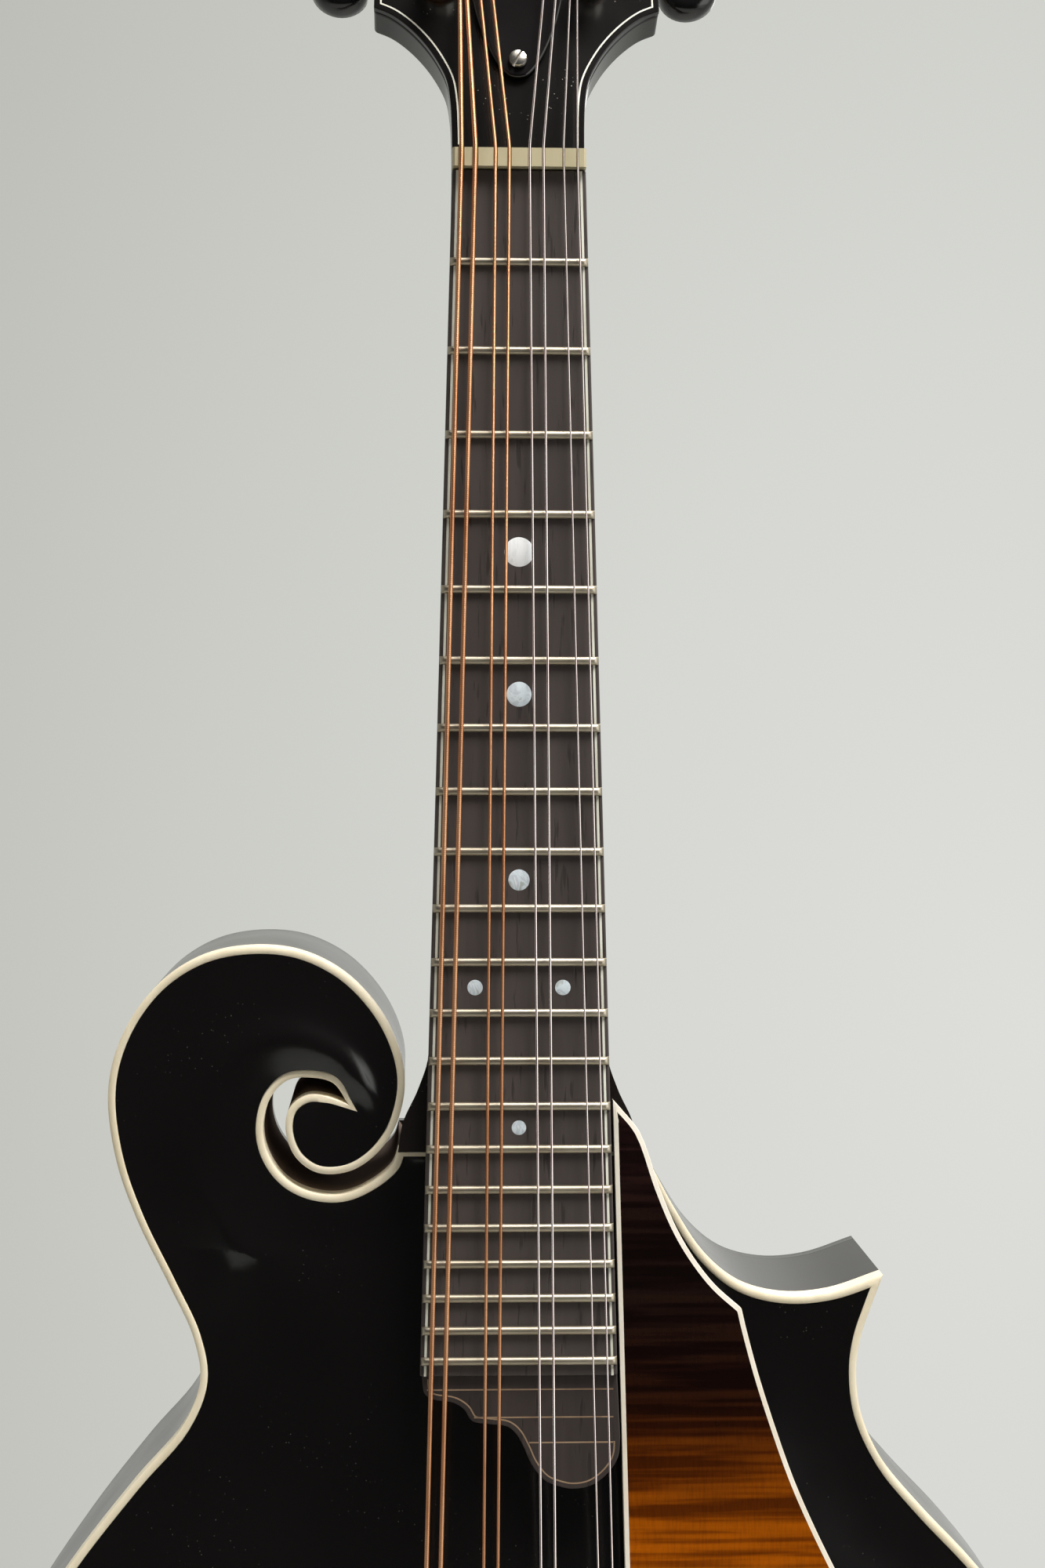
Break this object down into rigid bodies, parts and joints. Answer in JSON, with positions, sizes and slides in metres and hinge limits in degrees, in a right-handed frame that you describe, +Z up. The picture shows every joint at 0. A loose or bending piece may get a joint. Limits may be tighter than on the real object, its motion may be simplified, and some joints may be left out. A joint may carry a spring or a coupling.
{
  "type": "mandolin",
  "caption": "F-style mandolin with scroll body and point, f-shaped sound holes, geared tuners, fretboard, pickguard, two-piece bridge and covered tailpiece.",
  "frame": {"origin": "centre line of the neck's fretboard side at the nut's lower edge, where a hanger's fork carries the head", "axes": "+Z up the body's centre line to the head, -Y out of the face, +X to the treble side"},
  "size_m": [0.254, 0.0938, 0.6919],
  "materials": {
    "lacquered_top": "satin black lacquer over carved spruce",
    "black_lacquer": "satin black lacquer over maple",
    "cream_binding": "aged cream celluloid",
    "inside_wood": "bare maple",
    "spruce": "bare spruce",
    "steel": "plain steel",
    "brass": "turned brass",
    "ebony": "oiled ebony",
    "black_cover": "polished black",
    "nickel": "nickel plate",
    "tuner_metal": "nickel plated steel with a black button",
    "bone": "polished bone",
    "black_plastic": "polished black",
    "bronze_wound": "bronze wound",
    "plain_steel": "bright drawn steel",
    "guard_wood": "flamed maple, brown to amber sunburst"
  },
  "bodies": {
    "instrument": {"top_plate": "lacquered_top", "top_binding": "cream_binding", "back_plate": "black_lacquer", "rib_bass": "black_lacquer", "rib_channel": "black_lacquer", "rib_cutaway": "black_lacquer", "rib_treble": "black_lacquer", "head_block": "inside_wood", "tail_block": "inside_wood", "point_block": "inside_wood", "scroll_block": "inside_wood", "tone_bar_bass": "spruce", "tone_bar_treble": "spruce", "neck": "black_lacquer", "truss_rod": "steel", "headstock_overlay": "ebony", "truss_rod_cover": "black_cover", "cover_screw_lower": "nickel", "cover_screw_upper": "nickel", "fretboard": "ebony", "nut": "bone", "tuner_plate_bass": "nickel", "tuner_plate_treble": "nickel", "bridge_base": "ebony", "tailpiece_base": "nickel", "end_pin": "black_plastic", "pickguard": "guard_wood", "pickguard_bracket": "nickel", "string_g_outer": "bronze_wound", "string_g_inner": "bronze_wound", "string_d_outer": "bronze_wound", "string_d_inner": "bronze_wound", "string_a_inner": "plain_steel", "string_a_outer": "plain_steel", "string_e_inner": "plain_steel", "string_e_outer": "plain_steel"},
    "shaft_g_outer": {"tuner_shaft_g_outer": "tuner_metal"},
    "post_g_outer": {"tuner_post_g_outer": "nickel"},
    "shaft_g_inner": {"tuner_shaft_g_inner": "tuner_metal"},
    "post_g_inner": {"tuner_post_g_inner": "nickel"},
    "shaft_d_outer": {"tuner_shaft_d_outer": "tuner_metal"},
    "post_d_outer": {"tuner_post_d_outer": "nickel"},
    "shaft_d_inner": {"tuner_shaft_d_inner": "tuner_metal"},
    "post_d_inner": {"tuner_post_d_inner": "nickel"},
    "shaft_a_inner": {"tuner_shaft_a_inner": "tuner_metal"},
    "post_a_inner": {"tuner_post_a_inner": "nickel"},
    "shaft_a_outer": {"tuner_shaft_a_outer": "tuner_metal"},
    "post_a_outer": {"tuner_post_a_outer": "nickel"},
    "shaft_e_inner": {"tuner_shaft_e_inner": "tuner_metal"},
    "post_e_inner": {"tuner_post_e_inner": "nickel"},
    "shaft_e_outer": {"tuner_shaft_e_outer": "tuner_metal"},
    "post_e_outer": {"tuner_post_e_outer": "nickel"},
    "truss_nut": {"truss_rod_nut": "brass"},
    "saddle": {"bridge_saddle": "ebony"},
    "wheel_bass": {"thumbwheel_bass": "brass"},
    "wheel_treble": {"thumbwheel_treble": "brass"},
    "tail_cover": {"tailpiece_cover": "nickel"}
  },
  "joints": [
    {"name": "shaft_g_outer_turn", "type": "hinge", "parent": "instrument", "child": "shaft_g_outer", "pos_m": [-0.0163, 0.02855, 0.04645], "axis": [1, 0, 0], "continuous": true},
    {"name": "post_g_outer_turn", "type": "hinge", "parent": "instrument", "child": "post_g_outer", "pos_m": [-0.0163, 0.0266, 0.04046], "axis": [0, 0.9511, -0.309], "continuous": true},
    {"name": "shaft_g_inner_turn", "type": "hinge", "parent": "instrument", "child": "shaft_g_inner", "pos_m": [-0.0163, 0.03568, 0.06838], "axis": [1, 0, 0], "continuous": true},
    {"name": "post_g_inner_turn", "type": "hinge", "parent": "instrument", "child": "post_g_inner", "pos_m": [-0.0163, 0.03373, 0.06239], "axis": [0, 0.9511, -0.309], "continuous": true},
    {"name": "shaft_d_outer_turn", "type": "hinge", "parent": "instrument", "child": "shaft_d_outer", "pos_m": [-0.0163, 0.0428, 0.09031], "axis": [1, 0, 0], "continuous": true},
    {"name": "post_d_outer_turn", "type": "hinge", "parent": "instrument", "child": "post_d_outer", "pos_m": [-0.0163, 0.04086, 0.08432], "axis": [0, 0.9511, -0.309], "continuous": true},
    {"name": "shaft_d_inner_turn", "type": "hinge", "parent": "instrument", "child": "shaft_d_inner", "pos_m": [-0.0163, 0.04993, 0.11224], "axis": [1, 0, 0], "continuous": true},
    {"name": "post_d_inner_turn", "type": "hinge", "parent": "instrument", "child": "post_d_inner", "pos_m": [-0.0163, 0.04798, 0.10625], "axis": [0, 0.9511, -0.309], "continuous": true},
    {"name": "shaft_a_inner_turn", "type": "hinge", "parent": "instrument", "child": "shaft_a_inner", "pos_m": [0.0163, 0.04993, 0.11224], "axis": [1, 0, 0], "continuous": true},
    {"name": "post_a_inner_turn", "type": "hinge", "parent": "instrument", "child": "post_a_inner", "pos_m": [0.0163, 0.04798, 0.10625], "axis": [0, 0.9511, -0.309], "continuous": true},
    {"name": "shaft_a_outer_turn", "type": "hinge", "parent": "instrument", "child": "shaft_a_outer", "pos_m": [0.0163, 0.0428, 0.09031], "axis": [1, 0, 0], "continuous": true},
    {"name": "post_a_outer_turn", "type": "hinge", "parent": "instrument", "child": "post_a_outer", "pos_m": [0.0163, 0.04086, 0.08432], "axis": [0, 0.9511, -0.309], "continuous": true},
    {"name": "shaft_e_inner_turn", "type": "hinge", "parent": "instrument", "child": "shaft_e_inner", "pos_m": [0.0163, 0.03568, 0.06838], "axis": [1, 0, 0], "continuous": true},
    {"name": "post_e_inner_turn", "type": "hinge", "parent": "instrument", "child": "post_e_inner", "pos_m": [0.0163, 0.03373, 0.06239], "axis": [0, 0.9511, -0.309], "continuous": true},
    {"name": "shaft_e_outer_turn", "type": "hinge", "parent": "instrument", "child": "shaft_e_outer", "pos_m": [0.0163, 0.02855, 0.04645], "axis": [1, 0, 0], "continuous": true},
    {"name": "post_e_outer_turn", "type": "hinge", "parent": "instrument", "child": "post_e_outer", "pos_m": [0.0163, 0.0266, 0.04046], "axis": [0, 0.9511, -0.309], "continuous": true},
    {"name": "truss_nut_turn", "type": "hinge", "parent": "instrument", "child": "truss_nut", "pos_m": [0, 0.01163, 0.02866], "axis": [0, 0.0698, 0.9976], "range_deg": [-180, 180]},
    {"name": "saddle_height", "type": "slide", "parent": "instrument", "child": "saddle", "axis": [0, 1, 0], "range_m": [0, 0.0015]},
    {"name": "wheel_bass_turn", "type": "hinge", "parent": "saddle", "child": "wheel_bass", "pos_m": [-0.037, -0.0267, -0.35151], "axis": [0, 1, 0], "range_deg": [0, 1080]},
    {"name": "wheel_treble_turn", "type": "hinge", "parent": "saddle", "child": "wheel_treble", "pos_m": [0.037, -0.0267, -0.35151], "axis": [0, 1, 0], "range_deg": [0, 1080]},
    {"name": "tail_cover_slide", "type": "slide", "parent": "instrument", "child": "tail_cover", "axis": [0, -0.1495, 0.9888], "range_m": [0, 0.025]}
  ],
  "couplings": [
    {"joint": "post_g_outer_turn", "follows": "shaft_g_outer_turn", "ratio": -0.066667},
    {"joint": "post_g_inner_turn", "follows": "shaft_g_inner_turn", "ratio": -0.066667},
    {"joint": "post_d_outer_turn", "follows": "shaft_d_outer_turn", "ratio": -0.066667},
    {"joint": "post_d_inner_turn", "follows": "shaft_d_inner_turn", "ratio": -0.066667},
    {"joint": "post_a_inner_turn", "follows": "shaft_a_inner_turn", "ratio": -0.066667},
    {"joint": "post_a_outer_turn", "follows": "shaft_a_outer_turn", "ratio": -0.066667},
    {"joint": "post_e_inner_turn", "follows": "shaft_e_inner_turn", "ratio": -0.066667},
    {"joint": "post_e_outer_turn", "follows": "shaft_e_outer_turn", "ratio": -0.066667},
    {"joint": "wheel_bass_turn", "follows": "saddle_height", "rad_per_m": 12566},
    {"joint": "wheel_treble_turn", "follows": "saddle_height", "rad_per_m": 12566}
  ]
}
